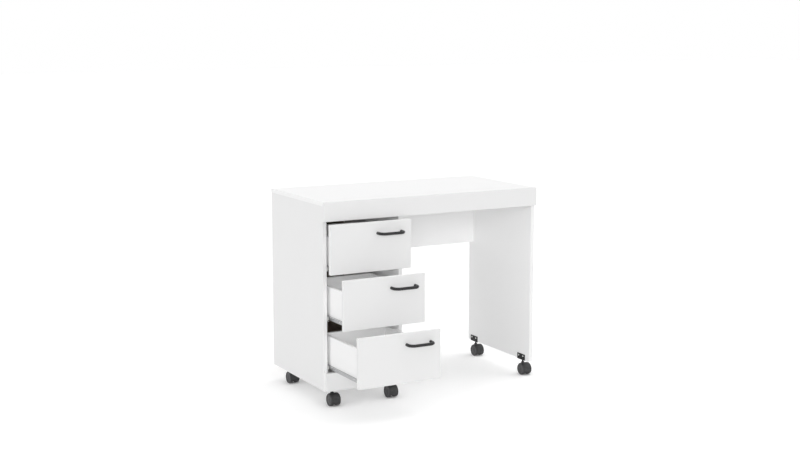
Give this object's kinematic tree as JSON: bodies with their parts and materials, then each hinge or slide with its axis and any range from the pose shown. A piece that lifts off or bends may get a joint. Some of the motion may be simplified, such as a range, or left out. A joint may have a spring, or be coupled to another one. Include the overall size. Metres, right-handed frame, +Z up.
{
  "type": "sewing table",
  "caption": "Rolling sewing table: flat worktop with a deep apron over a drawer pedestal and an open knee space, on twin-wheel casters.",
  "frame": {"origin": "On the floor under the centre of the bounding box, with the drawers as far open as at rest.", "axes": "+X runs along the worktop from the drawer pedestal to the open leg panel, +Y from the apron to the back edge, and +Z up."},
  "size_m": [0.933, 0.7754, 0.761],
  "materials": {
    "white_laminate": "satin white melamine on particle board",
    "brown_hardboard": "smooth brown hardboard",
    "slide_steel": "zinc-plated steel",
    "handle_metal": "dark grey satin",
    "caster_plastic": "moulded black nylon",
    "wheel_plastic": "moulded dark grey nylon",
    "mount_steel": "black",
    "zinc_fittings": "bright zinc",
    "roller_nylon": "white nylon",
    "dowel_wood": "beech"
  },
  "bodies": {
    "carcass": {"tabletop": "white_laminate", "front_apron": "white_laminate", "left_side_panel": "white_laminate", "inner_side_panel": "white_laminate", "right_side_panel": "white_laminate", "modesty_panel": "white_laminate", "cabinet_bottom": "white_laminate", "plinth_board": "white_laminate", "cabinet_back": "brown_hardboard", "cam_locks": "zinc_fittings", "cam_bolts": "zinc_fittings", "wood_dowels": "dowel_wood", "pan_head_screws": "zinc_fittings", "caster_plates": "mount_steel", "caster_brackets": "mount_steel", "drawer_1_cabinet_rails": "slide_steel", "drawer_2_cabinet_rails": "slide_steel", "drawer_3_cabinet_rails": "slide_steel"},
    "drawer_1": {"drawer_1_front": "white_laminate", "drawer_1_left_side": "white_laminate", "drawer_1_right_side": "white_laminate", "drawer_1_back": "white_laminate", "drawer_1_bottom": "white_laminate", "drawer_1_handle": "handle_metal", "drawer_1_runners": "slide_steel", "drawer_1_screws": "zinc_fittings"},
    "drawer_1_rear_rollers": {"drawer_1_rollers": "roller_nylon"},
    "drawer_1_front_rollers": {"drawer_1_cabinet_rollers": "roller_nylon"},
    "drawer_2": {"drawer_2_front": "white_laminate", "drawer_2_left_side": "white_laminate", "drawer_2_right_side": "white_laminate", "drawer_2_back": "white_laminate", "drawer_2_bottom": "white_laminate", "drawer_2_handle": "handle_metal", "drawer_2_runners": "slide_steel", "drawer_2_screws": "zinc_fittings"},
    "drawer_2_rear_rollers": {"drawer_2_rollers": "roller_nylon"},
    "drawer_2_front_rollers": {"drawer_2_cabinet_rollers": "roller_nylon"},
    "drawer_3": {"drawer_3_front": "white_laminate", "drawer_3_left_side": "white_laminate", "drawer_3_right_side": "white_laminate", "drawer_3_back": "white_laminate", "drawer_3_bottom": "white_laminate", "drawer_3_handle": "handle_metal", "drawer_3_runners": "slide_steel", "drawer_3_screws": "zinc_fittings"},
    "drawer_3_rear_rollers": {"drawer_3_rollers": "roller_nylon"},
    "drawer_3_front_rollers": {"drawer_3_cabinet_rollers": "roller_nylon"},
    "caster_front_left": {"caster_hood_front_left": "caster_plastic"},
    "wheels_front_left": {"caster_wheels_front_left": "wheel_plastic"},
    "caster_front_middle": {"caster_hood_front_middle": "caster_plastic"},
    "wheels_front_middle": {"caster_wheels_front_middle": "wheel_plastic"},
    "caster_rear_left": {"caster_hood_rear_left": "caster_plastic"},
    "wheels_rear_left": {"caster_wheels_rear_left": "wheel_plastic"},
    "caster_rear_middle": {"caster_hood_rear_middle": "caster_plastic"},
    "wheels_rear_middle": {"caster_wheels_rear_middle": "wheel_plastic"},
    "caster_front_right": {"caster_hood_front_right": "caster_plastic"},
    "wheels_front_right": {"caster_wheels_front_right": "wheel_plastic"},
    "caster_rear_right": {"caster_hood_rear_right": "caster_plastic"},
    "wheels_rear_right": {"caster_wheels_rear_right": "wheel_plastic"}
  },
  "joints": [
    {"name": "drawer_1_slide", "type": "slide", "parent": "carcass", "child": "drawer_1", "axis": [0, -1, 0], "range_m": [-0.044, 0.221]},
    {"name": "drawer_1_rear_rollers_turn", "type": "hinge", "parent": "drawer_1", "child": "drawer_1_rear_rollers", "pos_m": [-0.303, 0.20375, 0.5147], "axis": [1, 0, 0], "continuous": true},
    {"name": "drawer_1_front_rollers_turn", "type": "hinge", "parent": "carcass", "child": "drawer_1_front_rollers", "pos_m": [-0.303, -0.05925, 0.5147], "axis": [1, 0, 0], "continuous": true},
    {"name": "drawer_2_slide", "type": "slide", "parent": "carcass", "child": "drawer_2", "axis": [0, -1, 0], "range_m": [-0.148, 0.117]},
    {"name": "drawer_2_rear_rollers_turn", "type": "hinge", "parent": "drawer_2", "child": "drawer_2_rear_rollers", "pos_m": [-0.303, 0.09975, 0.3298], "axis": [1, 0, 0], "continuous": true},
    {"name": "drawer_2_front_rollers_turn", "type": "hinge", "parent": "carcass", "child": "drawer_2_front_rollers", "pos_m": [-0.303, -0.05925, 0.3298], "axis": [1, 0, 0], "continuous": true},
    {"name": "drawer_3_slide", "type": "slide", "parent": "carcass", "child": "drawer_3", "axis": [0, -1, 0], "range_m": [-0.261, 0.004]},
    {"name": "drawer_3_rear_rollers_turn", "type": "hinge", "parent": "drawer_3", "child": "drawer_3_rear_rollers", "pos_m": [-0.303, -0.01325, 0.1449], "axis": [1, 0, 0], "continuous": true},
    {"name": "drawer_3_front_rollers_turn", "type": "hinge", "parent": "carcass", "child": "drawer_3_front_rollers", "pos_m": [-0.303, -0.05925, 0.1449], "axis": [1, 0, 0], "continuous": true},
    {"name": "caster_front_left_swivel", "type": "hinge", "parent": "carcass", "child": "caster_front_left", "pos_m": [-0.424, -0.05225, 0.04], "axis": [0, 0, 1], "continuous": true},
    {"name": "caster_front_left_roll", "type": "hinge", "parent": "caster_front_left", "child": "wheels_front_left", "pos_m": [-0.424, -0.06425, 0.0225], "axis": [1, 0, 0], "continuous": true},
    {"name": "caster_front_middle_swivel", "type": "hinge", "parent": "carcass", "child": "caster_front_middle", "pos_m": [-0.182, -0.05225, 0.04], "axis": [0, 0, 1], "continuous": true},
    {"name": "caster_front_middle_roll", "type": "hinge", "parent": "caster_front_middle", "child": "wheels_front_middle", "pos_m": [-0.182, -0.06425, 0.0225], "axis": [1, 0, 0], "continuous": true},
    {"name": "caster_rear_left_swivel", "type": "hinge", "parent": "carcass", "child": "caster_rear_left", "pos_m": [-0.424, 0.31175, 0.04], "axis": [0, 0, 1], "continuous": true},
    {"name": "caster_rear_left_roll", "type": "hinge", "parent": "caster_rear_left", "child": "wheels_rear_left", "pos_m": [-0.424, 0.29975, 0.0225], "axis": [1, 0, 0], "continuous": true},
    {"name": "caster_rear_middle_swivel", "type": "hinge", "parent": "carcass", "child": "caster_rear_middle", "pos_m": [-0.182, 0.31175, 0.04], "axis": [0, 0, 1], "continuous": true},
    {"name": "caster_rear_middle_roll", "type": "hinge", "parent": "caster_rear_middle", "child": "wheels_rear_middle", "pos_m": [-0.182, 0.29975, 0.0225], "axis": [1, 0, 0], "continuous": true},
    {"name": "caster_front_right_swivel", "type": "hinge", "parent": "carcass", "child": "caster_front_right", "pos_m": [0.446, -0.01925, 0.04], "axis": [0, 0, 1], "continuous": true},
    {"name": "caster_front_right_roll", "type": "hinge", "parent": "caster_front_right", "child": "wheels_front_right", "pos_m": [0.446, -0.03125, 0.0225], "axis": [1, 0, 0], "continuous": true},
    {"name": "caster_rear_right_swivel", "type": "hinge", "parent": "carcass", "child": "caster_rear_right", "pos_m": [0.446, 0.33675, 0.04], "axis": [0, 0, 1], "continuous": true},
    {"name": "caster_rear_right_roll", "type": "hinge", "parent": "caster_rear_right", "child": "wheels_rear_right", "pos_m": [0.446, 0.32475, 0.0225], "axis": [1, 0, 0], "continuous": true}
  ],
  "couplings": [
    {"joint": "drawer_1_rear_rollers_turn", "follows": "drawer_1_slide", "rad_per_m": 111.11},
    {"joint": "drawer_1_front_rollers_turn", "follows": "drawer_1_slide", "rad_per_m": 111.11},
    {"joint": "drawer_2_rear_rollers_turn", "follows": "drawer_2_slide", "rad_per_m": 111.11},
    {"joint": "drawer_2_front_rollers_turn", "follows": "drawer_2_slide", "rad_per_m": 111.11},
    {"joint": "drawer_3_rear_rollers_turn", "follows": "drawer_3_slide", "rad_per_m": 111.11},
    {"joint": "drawer_3_front_rollers_turn", "follows": "drawer_3_slide", "rad_per_m": 111.11}
  ]
}
